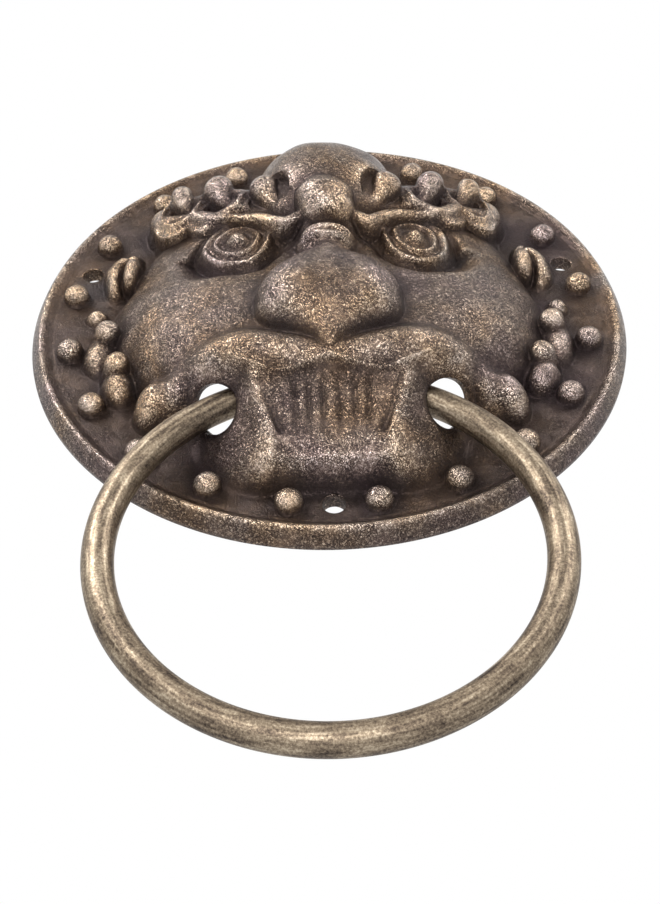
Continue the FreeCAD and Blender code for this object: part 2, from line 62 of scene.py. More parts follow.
rim = {"thick": 3.0, "foot": plateRadius - 3.6, "crest": plateRadius - 2.1, "crestHeight": 4.2, "bevel": 0.12,
       "backBevel": 1.2}
stud = {"circle": 52.2, "radius": 2.65, "rise": 0.7, "pairs": 9, "first": 8.9, "step": 16.6, "spread": 0.25}
screw = {"radius": 2.1, "rim": 0.25}
casting = {"wall": 2.4, "solidRim": 6.0, "leastHollow": 1.3, "grid": 0.5, "circles": 340, "quickCircles": 240}
# the slanted holes beside the mouth: how far their line leans sideways and down for each millimetre
# along it, how far it reaches either way, and where the casting's wall grows thin towards it
mouth = {"x": 20.5, "radius": 4.7, "side": 0.65, "down": 0.53, "inward": -9.0, "outward": 12.0, "wall": 1.1,
         "thinFrom": 9.5, "thinOver": 3.0, "edgeDepth": 0.6, "edgeWidth": 0.7}
# the hollow's room for the ring's hidden arc: the gap round it, then start, end and step in degrees
arcSpace = {"gap": 0.7, "swing": (-5, 84, 3.0), "arc": (-62, 62.1, 2.0)}
farBelow = -50.0  # lower than any form, so that it never shows


# What the relief is drawn with, worked out for whole arrays of x and z at once.

def smoothMax(one, other, blend):
    share = np.clip(0.5 + 0.5 * (one - other) / blend, 0, 1)
    return other * (1 - share) + one * share + blend * share * (1 - share)


def turned(x, z, centre, angle):
    cosine, sine = math.cos(math.radians(angle)), math.sin(math.radians(angle))
    acrossX, acrossZ = x - centre[0], z - centre[1]
    return acrossX * cosine + acrossZ * sine, acrossZ * cosine - acrossX * sine


def cap(x, z, centre, half, foot, top, power=2.2, angle=0.0, bulge=0.5):
    wide, high = turned(x, z, centre, angle)
    far = np.abs(wide / half[0]) ** power + np.abs(high / half[1]) ** power
    return np.where(far < 1, foot + (top - foot) * np.clip(1 - far, 0, 1) ** bulge, foot - 6 * (far - 1))


def ballAt(far, radius, top):
    inside = top - radius + np.sqrt(np.clip(radius ** 2 - far ** 2, 0, None))
    return np.where(far < radius, inside, top - radius - 3 * (far - radius))


def knob(x, z, centre, radius, top):
    return ballAt(np.hypot(x - centre[0], z - centre[1]), radius, top)


def along(x, z, begin, finish):
    # the share of the way from begin to finish, and how far off that line
    runX, runZ = finish[0] - begin[0], finish[1] - begin[1]
    share = np.clip(((x - begin[0]) * runX + (z - begin[1]) * runZ) / (runX * runX + runZ * runZ), 0, 1)
    return share, np.hypot(x - begin[0] - share * runX, z - begin[1] - share * runZ)


def smoothPath(stations, pieces=6):
    # a rounded path through given stations
    points = np.array(stations, float)
    ends = np.vstack([2 * points[0] - points[1], points, 2 * points[-1] - points[-2]])
    path = []
    for leg in range(1, len(ends) - 2):
        for step in range(pieces):
            share = step / pieces
            before, begin, finish, after = ends[leg - 1], ends[leg], ends[leg + 1], ends[leg + 2]
            bend = 2 * before - 5 * begin + 4 * finish - after
            twist = 3 * begin - before - 3 * finish + after
            path.append(begin + 0.5 * ((finish - before) * share + bend * share ** 2 + twist * share ** 3))
    path.append(points[-1])
    return path


def nearPath(x, z, path, margin):
    # the grid points worth working out for this path
    low = np.min([point[:2] for point in path], axis=0) - margin
    high = np.max([point[:2] for point in path], axis=0) + margin
    return (x > low[0]) & (x < high[0]) & (z > low[1]) & (z < high[1])


def roll(x, z, stations):
    # a round roll along stations of (x, z, radius, top)
    path = smoothPath(stations)
    near = nearPath(x, z, path, 9.0)
    nearX, nearZ = x[near], z[near]
    best = np.full(nearX.shape, farBelow)
    for begin, finish in zip(path[:-1], path[1:]):
        share, far = along(nearX, nearZ, begin, finish)
        radius = begin[2] + share * (finish[2] - begin[2])
        best = np.maximum(best, ballAt(far, radius, begin[3] + share * (finish[3] - begin[3])))
    result = np.full(x.shape, farBelow)
    result[near] = best
    return result


def line(x, z, stations, width):
    # 1 on a drawn line, falling to 0 beside it
    path = smoothPath(stations)
    near = nearPath(x, z, path, 3.0 * width)
    nearX, nearZ = x[near], z[near]
    best = np.full(nearX.shape, 1e3)
    for begin, finish in zip(path[:-1], path[1:]):
        best = np.minimum(best, along(nearX, nearZ, begin, finish)[1])
    result = np.zeros(x.shape)
    result[near] = np.exp(-(best / width) ** 2)
    return result


def curve(value, stations):
    # a smooth reading of (value, result) stations
    path = np.array(smoothPath(stations, 8))
    return np.interp(value, path[:, 0], path[:, 1])


def dip(x, z, centre, half, angle=0.0):
    wide, high = turned(x, z, centre, angle)
    return np.exp(-(wide / half[0]) ** 2 - (high / half[1]) ** 2)


def smoothMin(one, other, blend):
    return -smoothMax(-one, -other, blend)


# The lion's face, with "side" the distance from its middle line.

def faceBase(side, z):
    half = curve(z, [(-54, 10), (-48, 18), (-42, 24), (-35, 28.5), (-28, 33), (-24, 37), (-18, 41),
                     (-12, 43.5), (-7, 44), (0, 43.5), (6, 42.3), (12.5, 40), (20, 37), (24, 34.5),
                     (29, 27), (35, 14), (40, 6)])
    crest = curve(z, [(-54, 0), (-48, 3.5), (-42, 5.5), (-35, 8), (-30, 11.5), (-26, 16.6), (-20, 18.8),
                      (-8, 18.9), (2, 17.4), (12, 15.6), (22, 14), (29, 9), (35, 4), (40, 0)])
    out = np.clip(side / half, 0, 1)
    return 1.0 + (crest - 1.0) * (1 - out ** 3.2) ** 0.68


def forehead(x, z):
    dome = np.maximum(ballAt(np.hypot(x, z - 26.0), 17.0, 24.3), 0)
    skirt = cap(np.abs(x), z, (0, 24.0), (24.0, 19.0), 2.0, 13.0, 2.0, 0, 0.8)
    return smoothMax(dome, skirt, 4.0)


def eyes(height, side, z):
    tilt = -0.2 * (side - 18.0)
    wide, high = turned(side, z, (17.4, 9.4), -8)
    far = np.hypot(wide / 9.9, np.where(high > 0, high / 7.0, high / 9.2))
    rise = np.where(high > 0, 16.0, 9.0) * np.clip(far - 0.86, 0, 9)
    socket = 12.4 + tilt - 1.2 * np.clip((side - 20) / 6, 0, 1) + rise
    height = np.where(far < 1.6, smoothMin(height, socket, 1.6), height)
    corner = cap(side, z, (12.0, 10.4), (6.4, 5.0), 12.0, 15.2, 2.0, -10, 0.6)
    far = np.hypot((side - 18.1) / 8.5, (z - 9.5) / 8.4)
    ball = 11.5 + tilt + 3.4 * np.clip(1 - far ** 2.4, 0, 1) ** 0.42 - 5 * np.clip(far - 1, 0, 9)
    ball = smoothMax(ball, corner, 1.2)
    height = np.where(far < 2.0, smoothMax(height, ball, 1.6), height)
    far = np.hypot(side - 18.0, z - 9.4)
    for radius, width, tall in ((6.4, 0.8, 1.3), (4.2, 0.75, 1.25)):
        height = height + tall * np.exp(-((far - radius) / width) ** 2)
    return height + 2.3 * np.exp(-(far / 1.95) ** 2.4)


def ridgeLevel(side):
    return curve(side, [(0, 21.4), (4, 20.8), (12, 19.4), (19.2, 17.5), (26, 14.8), (32, 11.8),
                        (37, 8.6), (44, 5)])


def brow(height, side, z):
    level = ridgeLevel(side)
    bank = [(4.0, 18.0, 5.2, 20.4), (12.0, 20.0, 5.8, 19.2), (20.0, 23.0, 5.8, 17.2), (28.0, 26.0, 5.4, 13.4),
            (33.0, 26.8, 4.4, 10.4)]
    height = smoothMax(height, roll(side, z, bank), 1.5)
    temple = [(20.0, 20.0, 4.4, 13.6), (27.0, 21.6, 5.0, 12.0), (32.0, 22.0, 4.0, 9.8)]
    height = smoothMax(height, roll(side, z, temple), 2.0)
    # three bowls, each with its middle, half width, half height, bead radius and depth
    bowls = ((12.2, 19.4, 4.9, 6.2, 3.0, 1.5), (22.0, 23.2, 4.8, 5.8, 2.9, 3.0),
             (30.0, 25.7, 3.9, 5.2, 2.2, 3.0))
    for midX, midZ, across, tall, bead, deep in bowls:
        wide, high = turned(side, z, (midX, midZ), 24)
        wide, high = wide / across, high / tall
        far = np.hypot(wide, high)
        gate = np.clip((0.6 - high) / 0.6, 0, 1)
        if midX < 15:  # the first curl runs into the forehead on its inner side
            gate = gate * np.clip((wide + 0.9) / 0.6, 0, 1)
        bowl = level - 0.2 - deep * np.clip(1 - far ** 2, 0, 1) * gate
        height = np.where(far < 1.0, smoothMin(height, bowl, 0.6), height)
        edge = level - 0.7 + 1.2 * np.exp(-((far - 1.1) / 0.17) ** 2) - 5 * (1 - gate)
        height = np.where(np.abs(far - 1.12) < 0.45, smoothMax(height, edge, 0.6), height)
        top = float(ridgeLevel(np.array(midX))) + 2.3
        curl = [(midX + 0.2, midZ + 3.3, bead, top), (midX - 0.5, midZ + 1.6, 0.88 * bead, top - 0.8),
                (midX - 0.34 * across, midZ - 0.14 * tall, 0.62 * bead, top - 2.0),
                (midX - 0.62 * across, midZ - 0.42 * tall, 0.36 * bead, top - 3.2)]
        height = smoothMax(height, roll(side, z, curl), 0.5)
    return height


def browEdge(height, side, z):
    # a thin edge that runs off the knob, under the curls and close over the eye
    edge = [(2.0, 12.9, 1.5, 20.7), (5.8, 11.9, 1.4, 20.4), (8.2, 10.9, 1.3, 19.9),
            (10.8, 12.3, 1.3, 19.3), (13.8, 14.7, 1.3, 18.5), (18.2, 16.1, 1.3, 17.2),
            (22.9, 17.4, 1.4, 16.4), (26.0, 20.2, 1.6, 15.0), (30.5, 22.8, 1.8, 12.4), (34.4, 25.2, 2.2, 9.8)]
    return smoothMax(height, roll(side, z, edge), 0.7)


def browKnob(height, side, z):
    ball = [(0.0, 15.9, 6.2, 25.3), (0.0, 14.4, 6.3, 24.9)]
    neck = [(0.0, 12.0, 6.4, 21.6), (0.0, 8.0, 7.0, 20.4), (0.0, 5.0, 7.2, 19.6)]
    height = smoothMax(height, roll(side, z, neck), 1.4)
    return smoothMax(height, roll(side, z, ball), 1.2)


def nose(height, x, side, z):
    half = curve(-z, [(-2.0, 1.5), (0, 4.2), (2, 6.6), (5, 9.8), (9, 12.7), (13, 14.2), (17, 14.5),
                      (19.5, 13.6), (21.5, 11.4), (23.5, 7.9), (25.6, 4.2), (28.6, 0.5)])
    crest = curve(-z, [(-2.0, 19.4), (1, 22.0), (4, 24.0), (8, 25.9), (12, 26.6), (17, 26.3), (21, 25.0),
                       (25, 22.8), (28.6, 20.6)])
    foot = curve(-z, [(-2.0, 18.0), (4, 17.4), (10, 16.8), (20, 16.6), (28.6, 19.2)])
    out = side / np.clip(half, 0.2, None)
    power = 1.5 + 1.3 * np.clip((-z - 2) / 12, 0, 1)
    crown = foot + (crest - foot) * (1 - np.clip(out, 0, 1) ** power) ** 0.55
    bell = np.where(out < 1, crown, foot - 12 * (out - 1))
    bell = bell + 0.6 * np.exp(-(x / 1.9) ** 2) * np.clip((z + 17) / 8, 0, 1)
    bell = bell + 0.8 * dip(side, z, (8.6, -14.5), (4.5, 5.0))
    bell = np.where((z > 1.9) | (z < -28.6), -5, bell)
    return smoothMax(height, bell, 0.8)


def bridge(height, side, z):
    height = smoothMax(height, cap(side, z, (0, 2.8), (6.3, 6.0), 14.0, 21.2, 2.4, 0, 0.4), 0.6)
    groove = np.exp(-((z - 8.8 + 0.035 * side ** 2) / 0.8) ** 2) * np.clip(1.4 - side / 6.2, 0, 1)
    height = height - 1.4 * groove
    for level in (6.3, 3.1):
        crease = np.exp(-((z - level + 0.022 * side ** 2) / 0.85) ** 2) * np.exp(-(side / 5.4) ** 6)
        height = height + 1.6 * crease
    return height


def upperLip(height, side, z):
    # a broad soft lip that arches over the mouth holes
    path = smoothPath([(0.0, -28.0, 2.4, 20.3), (4.5, -27.3, 3.4, 20.7), (9.5, -26.5, 4.3, 20.9),
                       (14.0, -25.6, 4.8, 20.6), (17.8, -24.7, 4.8, 19.4), (21.4, -24.6, 4.2, 17.3),
                       (25.6, -25.3, 3.25, 13.3), (29.2, -27.1, 3.4, 11.0), (32.0, -28.2, 3.4, 9.0)])
    lip = np.full(side.shape, farBelow)
    near = nearPath(side, z, path, 9.0)
    for begin, finish in zip(path[:-1], path[1:]):
        share, far = along(side[near], z[near], begin, finish)
        radius = begin[2] + share * (finish[2] - begin[2])
        top = begin[3] + share * (finish[3] - begin[3])
        fall = np.where(far < radius, 0.62 * far * far / radius, 0.62 * radius + 1.7 * (far - radius))
        lip[near] = np.maximum(lip[near], top - fall)
    return smoothMax(height, lip, 1.6)


def jawBlock(height, x, side, z):
    drop = -26.5 - z
    front = curve(drop, [(0, 18.6), (4, 17.6), (8.5, 15.0), (13, 12.6), (17.8, 10.6), (19.8, 8.8),
                         (21.4, 5.8), (22.6, 3), (23.6, 0.5)])
    half = curve(drop, [(0, 15.6), (4, 15.0), (8.5, 14.0), (13, 13.2), (17.8, 12.8), (20, 13.2),
                        (22.5, 14.4), (25, 15.8)])
    foot = curve(-z, [(24, 24.0), (33, 25.5), (38, 26.0), (44, 24), (48, 19.5), (51, 14)])
    share = np.clip((side - half) / (foot - half), 0, 1)
    block = np.where(side <= half, front, front + (2.0 - front) * share ** 1.15)
    edge = side - half
    block = block + 0.9 * np.exp(-((edge + 1.7) / 1.5) ** 2) * np.clip(drop / 4, 0, 1)
    block = block - 0.35 * np.exp(-((drop - 18.2) / 0.8) ** 2) * (side < half)
    for gap in (-7.2, -4.4, -1.5, 1.7, 4.6, 7.4):
        lean = gap * (1.0 - 0.008 * drop)
        band = np.clip((drop - 5) / 3, 0, 1) * np.clip((16 - drop) / 3, 0, 1)
        tooth = np.exp(-((x - lean) / 0.6) ** 2) * band
        block = block - 0.5 * tooth
    groove = line(side, z, [(12.6, -33.0), (11.3, -37.0), (9.3, -41.2)], 0.8)
    block = block - 0.8 * groove
    height = np.where(z < -24.5, smoothMax(height, np.where(z < -24.5, block, -5), 0.8), height)
    mouthLine = [(0, -29.9), (4, -30.9), (8.7, -31.7), (12.5, -31.2), (16, -29.6), (18.5, -28.2)]
    return height + 0.7 * line(side, z, mouthLine, 0.4)


def maneCurls(height, side, z):
    # each lock has its middle, half width, half height, top and lean
    locks = ((42.6, 13.4, 4.1, 8.0, 7.4, 14), (45.2, -11.4, 3.8, 6.6, 6.8, -6),
             (40.6, -21.2, 4.3, 5.0, 7.6, -4), (33.2, -27.6, 4.4, 6.2, 10.2, 22),
             (46.6, 0.6, 2.8, 2.6, 5.4, 0))
    for midX, midZ, across, tall, top, lean in locks:
        height = smoothMax(height, cap(side, z, (midX, midZ), (across, tall), 1.0, top, 1.8, lean), 2.2)
    swirl = line(side, z, [(42.6, 18.4), (40.2, 16.4), (42.2, 12.6), (42.4, 8.6), (40.6, 6.6)], 0.8)
    height = height - 1.5 * swirl
    pearl = cap(side, z, (40.2, 11.4), (2.2, 4.2), 4.0, 9.2, 2.0, 10)
    height = smoothMax(height, pearl, 0.4)
    for midX, midZ, radius, top in ((43.9, -7.4, 2.6, 9.2), (40.6, -17.8, 2.5, 9.8)):
        height = smoothMax(height, knob(side, z, (midX, midZ), radius, top), 0.4)
    return height


def maskHeight(x, z):
    # a hand's unevenness: the drawing wanders a little, except round the mouth and on the chin
    loose = np.clip(np.maximum((z + 20) / 6, (np.abs(x) - 33) / 5), 0, 1)
    wanderX = 0.3 * np.sin(0.4 * z + 0.12 * x + 0.9) + 0.1 * np.sin(0.95 * z - 0.4 * x + 2.1)
    wanderZ = 0.3 * np.sin(0.4 * x + 0.7) + 0.1 * np.sin(0.85 * x + 0.6 * z)
    x, z = x + loose * wanderX, z + loose * wanderZ
    side = np.abs(x)
    height = faceBase(side, z)
    height = smoothMax(height, forehead(x, z), 3.0)
    height = brow(height, side, z)
    height = eyes(height, side, z)
    height = browEdge(height, side, z)
    height = browKnob(height, side, z)
    height = bridge(height, side, z)
    height = nose(height, x, side, z)
    height = upperLip(height, side, z)
    height = jawBlock(height, x, side, z)
    return maneCurls(height, side, z)


def studAngles():
    # pairs either side of the lowest point, and one stud at the top
    angles = [180.0]
    for pair in range(stud["pairs"]):
        angle = stud["first"] + stud["step"] * pair + stud["spread"] * pair * pair
        angles += [angle, -angle]
    return angles


def frontHeight(x, z):
    height = smoothMax(maskHeight(x, z), np.full(x.shape, rim["thick"]), 1.0)
    for angle in studAngles():
        turn = math.radians(angle)
        far = np.hypot(x - stud["circle"] * math.sin(turn), z + stud["circle"] * math.cos(turn))
        dome = rim["thick"] + stud["rise"] + np.sqrt(np.clip(stud["radius"] ** 2 - far ** 2, 0, None))
        height = np.where(far < stud["radius"], np.maximum(height, dome), height)
    return height


# Meshes.

def makeMesh(name, points, groups):
    mesh = bpy.data.meshes.new(name)
    faces = []
    for group in groups:
        faces += group.tolist() if hasattr(group, "tolist") else group
    mesh.from_pydata((np.asarray(points) * mm).tolist(), [], faces)
    mesh.shade_smooth()
    piece = bpy.data.objects.new(name, mesh)
    bpy.context.collection.objects.link(piece)
    return piece


def discGrid(circles):
    # a square grid bent to a disc: each square band of the grid becomes the circle of the same number
    column, row = np.meshgrid(np.arange(-circles, circles + 1), np.arange(-circles, circles + 1))
    number = np.maximum(np.abs(column), np.abs(row))
    wide = np.abs(column) >= np.abs(row)
    safeColumn, safeRow = np.where(column == 0, 1, column), np.where(row == 0, 1, row)
    angle = np.where(wide, 0.25 * math.pi * row / safeColumn,
                     0.5 * math.pi - 0.25 * math.pi * column / safeRow)
    sign = np.where(wide, np.sign(column), np.sign(row))
    count = 2 * circles + 1
    index = np.arange(count * count).reshape(count, count)
    quads = np.stack([index[:-1, :-1], index[:-1, 1:], index[1:, 1:], index[1:, :-1]], -1).reshape(-1, 4)
    border = np.concatenate([index[0, :-1], index[:-1, -1], index[-1, :0:-1], index[:0:-1, 0]])
    return number.ravel(), (sign * np.cos(angle)).ravel(), (sign * np.sin(angle)).ravel(), quads, border


class Field:
    # an even grid of values over the plate, read by bilinear steps
    def __init__(self, step):
        self.step = step
        self.reach = plateRadius + 4
        count = int(2 * self.reach / step) + 1
        self.axis = -self.reach + step * np.arange(count)
        self.x, self.z = np.meshgrid(self.axis, self.axis)

    def read(self, values, x, z):
        acrossSteps = np.clip((x + self.reach) / self.step, 0, len(self.axis) - 1.001)
        upSteps = np.clip((z + self.reach) / self.step, 0, len(self.axis) - 1.001)
        column, row = acrossSteps.astype(int), upSteps.astype(int)
        shareX, shareZ = acrossSteps - column, upSteps - row
        low = values[row, column] * (1 - shareX) + values[row, column + 1] * shareX
        high = values[row + 1, column] * (1 - shareX) + values[row + 1, column + 1] * shareX
        return low * (1 - shareZ) + high * shareZ


def shifted(values, columns, rows):
    return np.roll(np.roll(values, columns, axis=1), rows, axis=0)


def blurred(values, reach):
    # three box blurs along each axis
    for axis in (0, 1):
        for turn in range(3):
            total = values.copy()
            for step in range(1, reach + 1):
                total += np.roll(values, step, axis) + np.roll(values, -step, axis)
            values = total / (2 * reach + 1)
    return values


def arcRoom(x, z):
    # how high the hollow must be for the ring's hidden arc over its whole swing
    room = np.zeros(x.shape)
    clear = rodRadius + arcSpace["gap"]
    for swing in np.radians(np.arange(*arcSpace["swing"])):
        for part in np.radians(np.arange(*arcSpace["arc"])):
            rodX = ringX + ringRadius * math.sin(part)
            up = ringZ + ringRadius * math.cos(part) - pivotZ
            if up < -0.3:  # this part hangs outside the mask
                continue
            rodZ = pivotZ + up * math.cos(swing)
            rodHeight = ringHeight - up * math.sin(swing)
            near = (np.abs(x - rodX) < clear) & (np.abs(z - rodZ) < clear)
            far = np.hypot(x[near] - rodX, z[near] - rodZ)
            top = np.where(far < clear, rodHeight + np.sqrt(np.clip(clear ** 2 - far ** 2, 0, None)), 0)
            room[near] = np.maximum(room[near], top)
    return room


def rimHeight(radius):
    points = [(rim["foot"] - 1.2, rim["thick"]), (rim["foot"] - 0.4, rim["thick"] + 0.05),
              (rim["foot"] + 0.4, rim["thick"] + 0.6),
              (rim["crest"] - 0.5, rim["crestHeight"] - 0.08), (rim["crest"] + 0.3, rim["crestHeight"] - 0.1),
              (plateRadius - 0.9, 2.9), (plateRadius - rim["bevel"], 1.4)]
    return curve(radius, points)


def inset(values, wall):
    # the surface a wall's thickness below another
    result = values.copy()
    reach = int(wall / field.step)
    for columns in range(-reach, reach + 1):
        for rows in range(-reach, reach + 1):
            gap = wall ** 2 - (columns * columns + rows * rows) * field.step ** 2
            if gap > 0:
                result = np.minimum(result, shifted(values, columns, rows) - math.sqrt(gap))
    return result


mouthAxis = np.array([mouth["side"], -mouth["down"], math.sqrt(1 - mouth["side"] ** 2 - mouth["down"] ** 2)])
outOfReach = 99  # a distance farther than any that matters


def mouthDistance(x, z, height):
    # distance from the middle line of either mouth hole, or outOfReach past its ends, and the place along it
    asideX, asideZ, aboveHole = np.abs(x) - mouth["x"], z - pivotZ, height - ringHeight
    deep = asideX * mouthAxis[0] + asideZ * mouthAxis[1] + aboveHole * mouthAxis[2]
    far = np.sqrt(np.clip(asideX * asideX + asideZ * asideZ + aboveHole * aboveHole - deep * deep, 0, None))
    return np.where((deep > mouth["inward"]) & (deep < mouth["outward"]), far, outOfReach), deep


def castHeight(x, z):
    # the front with a soft edge round each mouth hole
    height = frontHeight(x, z)
    far = mouthDistance(x, z, height)[0]
    return height - mouth["edgeDepth"] * np.exp(-((far - mouth["radius"]) / mouth["edgeWidth"]) ** 2)


# the relief's circles, with those of the raised rim and of the plate's outer edge kept apart: the edge is
# given by how far each of its circles lies inside the plate's radius, and how high
edge = np.array([(0, 1.1), (0, 0.3), (rim["bevel"], 0.08), (0.4, 0), (0.8, 0)])
rimCircles = 21
circlesFront = casting["circles"]
inner = circlesFront - rimCircles - len(edge)
field = Field(casting["grid"])
front = castHeight(field.x, field.z)

# the hollow lies a wall behind the front, thinner beside the mouth holes, and makes room for the ring
near = np.clip((mouth["thinFrom"] - mouthDistance(field.x, field.z, front)[0]) / mouth["thinOver"], 0, 1)
hollow = inset(front, casting["wall"]) * (1 - near) + inset(front, mouth["wall"]) * near
hollow = np.where(np.hypot(field.x, field.z) < rim["foot"] - casting["solidRim"], hollow, 0)
hollow = blurred(np.where(hollow > casting["leastHollow"], hollow, 0), 1)
hollow = np.maximum(hollow, arcRoom(field.x, field.z))
print("relief and hollow worked out")

# circles of points run over the relief, up and over the rim, and round the plate's outer edge to its back
radii = np.concatenate([np.linspace(0, rim["foot"] - 1.2, inner),
                        np.linspace(rim["foot"] - 1.0, plateRadius - rim["bevel"], rimCircles),
                        plateRadius - edge[:, 0]])
tops = np.concatenate([np.zeros(inner), rimHeight(radii[inner:inner + rimCircles]), edge[:, 1]])
circlesFront = len(radii) - 1
if circlesFront % 2:  # the back has half as many circles
    radii = np.insert(radii, 1, 0.5 * radii[1])
    tops = np.insert(tops, 1, 0)
    inner += 1
    circlesFront += 1
number, unitX, unitZ, quads, border = discGrid(circlesFront)
x, z = unitX * radii[number], unitZ * radii[number]
height = np.where(number < inner, castHeight(x, z), tops[number])
# what stands out is worn bright and what lies deep stays dark, partly as patina and partly as painted shade;
# along the rim a band at its crest is brighter, and the flat plate is plainer than the face and a little
# darker
wearAndShade = np.clip(height - field.read(blurred(front, 3), x, z), -0.9, 0.9)
wearAndShade = np.where(number < inner, wearAndShade, 0.1 + 0.7 * np.exp(-((radii[number] - rim["crest"]) / 0.7) ** 2))
plainFace = np.clip(1 - (height - rim["thick"]) / 1.5, 0, 1)
plainRim = np.clip(1 - (radii[number] - rim["foot"]) / 1.5, 0, 1)
plain = np.where(number < inner, plainFace, plainRim)
frontPoints = np.stack([x, -height, z], -1)

circlesBack = circlesFront // 2
backNumber, backUnitX, backUnitZ, backQuads, backBorder = discGrid(circlesBack)
backRadii = np.linspace(0, plateRadius - rim["backBevel"], circlesBack + 1)
backX, backZ = backUnitX * backRadii[backNumber], backUnitZ * backRadii[backNumber]
backPoints = np.stack([backX, -field.read(hollow, backX, backZ), backZ], -1)

screws = [(mount["pos_m"][0] / mm, mount["pos_m"][2] / mm) for mount in frame["record"]["mounts"]
          if mount["name"].startswith("screw")]


def opened(points, faces, foot, size, near):
    # faces inside a hole go, and the border they leave is drawn onto the hole's wall
    out = points - foot
    far = np.where(near, np.clip(np.linalg.norm(out, axis=1), 1e-6, None), outOfReach)
    gone = (far - size)[faces].mean(axis=1) < 0
    edge, used = np.zeros(len(points), bool), np.zeros(len(points), bool)
    edge[faces[gone]] = True
    used[faces[~gone]] = True
    moved = used & (edge | (far < size))
    points[moved] = foot[moved] + out[moved] * (size / far)[moved, None]
    return faces[~gone]


def trimmed(points, faces):
    # the screw holes and the mouth holes are opened in a surface
    for midX, midZ in screws:
        foot = np.stack([np.full(len(points), midX), points[:, 1], np.full(len(points), midZ)], -1)
        size = np.where(points[:, 1] < -1, screw["radius"] + screw["rim"], screw["radius"])
        faces = opened(points, faces, foot, size, np.hypot(points[:, 0] - midX, points[:, 2] - midZ) < 5)
    away, deep = mouthDistance(points[:, 0], points[:, 2], -points[:, 1])
    sign = np.sign(points[:, 0])
    foot = np.stack([sign * (mouth["x"] + deep * mouthAxis[0]), -(ringHeight + deep * mouthAxis[2]),
                     pivotZ + deep * mouthAxis[1]], -1)
    faces = opened(points, faces, foot, np.full(len(points), mouth["radius"]), away < outOfReach)
    return points, faces


frontPoints, quads = trimmed(frontPoints, quads)
backPoints, backQuads = trimmed(backPoints, backQuads)

points = [frontPoints, backPoints]
base = len(frontPoints)
groups = [quads, (backQuads + base)[:, ::-1]]
skirt = []  # joins the front's last circle to the back's, two edges to one
for step in range(len(backBorder)):
    onFront = [border[(2 * step + 2) % len(border)], border[2 * step + 1], border[2 * step]]
    onBack = [backBorder[step] + base, backBorder[(step + 1) % len(backBorder)] + base]
    skirt.append([int(corner) for corner in onFront + onBack])
groups.append(skirt)


def addTube(rows):
    # a hole's wall from rows of points
    count = len(rows[0])
    first = sum(len(part) for part in points)
    points.extend(rows)
    for row in range(len(rows) - 1):
        here = first + row * count + np.arange(count)
        after = first + row * count + (np.arange(count) + 1) % count
        groups.append(np.stack([here, after, after + count, here + count], -1))


# each screw hole's wall, with a rounded mouth: how much wider than the hole, and how high
screwWall = ((screw["rim"], rim["thick"]), (0.07, rim["thick"] - 0.07), (0, rim["thick"] - 0.3), (0, 0))
turn = np.linspace(0, 2 * math.pi, 72, endpoint=False)
for midX, midZ in screws:
    rows = []
    for wider, high in screwWall:
        size = screw["radius"] + wider
        depth = np.full(len(turn), -high)
        rows.append(np.stack([midX + size * np.cos(turn), depth, midZ + size * np.sin(turn)], -1))
    addTube(rows)

# each mouth hole's wall runs from the hollow to the front, along the hole's own slanted line
turn = np.linspace(0, 2 * math.pi, 120, endpoint=False)
for hand in (-1, 1):
    axis = np.array([hand * mouthAxis[0], -mouthAxis[2], mouthAxis[1]])
    level = np.cross(axis, [0, 0, 1.0])
    level /= np.linalg.norm(level)
    upright = np.cross(axis, level)
    middle = np.array([hand * mouth["x"], -ringHeight, pivotZ])
    circle = middle + mouth["radius"] * (np.cos(turn)[:, None] * level + np.sin(turn)[:, None] * upright)
    steps = np.arange(-13, 13, 0.1)
    lines = circle[:, None, :] + steps[None, :, None] * axis
    over = -lines[:, :, 1] - castHeight(lines[:, :, 0], lines[:, :, 2])
    under = -lines[:, :, 1] - field.read(hollow, lines[:, :, 0], lines[:, :, 2])
    outAt = steps[np.argmax((over > 0) & (steps > -7), axis=1)]
    inAt = np.minimum(steps[np.argmax((under > 0) & (steps > -12), axis=1)], outAt - 0.4)
    addTube([circle + (inAt + (outAt - inAt) * part)[:, None] * axis for part in np.linspace(0, 1, 7)])

mask = makeMesh("lion_mask", np.concatenate(points), groups)
for name, given in (("wearAndShade", wearAndShade), ("plain", plain)):
    layer = mask.data.attributes.new(name, "FLOAT", "POINT")
    values = np.zeros(len(mask.data.vertices), np.float32)
    values[:base] = given
    layer.data.foreach_set("value", values)
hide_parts("mask_plate")
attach(mask, "mask")
print("mask built", len(mask.data.vertices), "points")

# The ring is a bent rod whose two ends nearly meet at its hidden top.
rod = {"around": 56, "along": 360, "split": 0.6, "streak": 0.1}
half = 0.5 * rod["split"] / ringRadius
sweep = np.linspace(half, 2 * math.pi - half, rod["along"])
spin = np.linspace(0, 2 * math.pi, rod["around"], endpoint=False)
out = ringRadius + rodRadius * np.cos(spin)
rodPoints = [np.stack([ringX + out * math.sin(angle), -ringHeight - rodRadius * np.sin(spin),
                       ringZ + out * math.cos(angle)], -1) for angle in sweep]
count = rod["around"]
rodFaces = []
for row in range(rod["along"] - 1):
    here = row * count + np.arange(count)
    after = row * count + (np.arange(count) + 1) % count
    rodFaces.append(np.stack([here, here + count, after + count, after], -1))
last = (rod["along"] - 1) * count
ends = [list(range(count)), list(range(last + count - 1, last - 1, -1))]
ringPiece = makeMesh("pull_ring", np.concatenate(rodPoints), rodFaces + [ends])
# a place along and around the rod, shortened along it, so that the finish can run in streaks
streakPlace = np.stack([np.repeat(rod["streak"] * ringRadius * sweep, count),
                        np.tile(rodRadius * np.cos(spin), rod["along"]),
                        np.tile(rodRadius * np.sin(spin), rod["along"])], -1) * mm
streakLayer = ringPiece.data.attributes.new("streakPlace", "FLOAT_VECTOR", "POINT")
streakLayer.data.foreach_set("vector", streakPlace.astype(np.float32).ravel())
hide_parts("knocker_ring")
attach(ringPiece, "ring")
print("ring built")


# Materials.

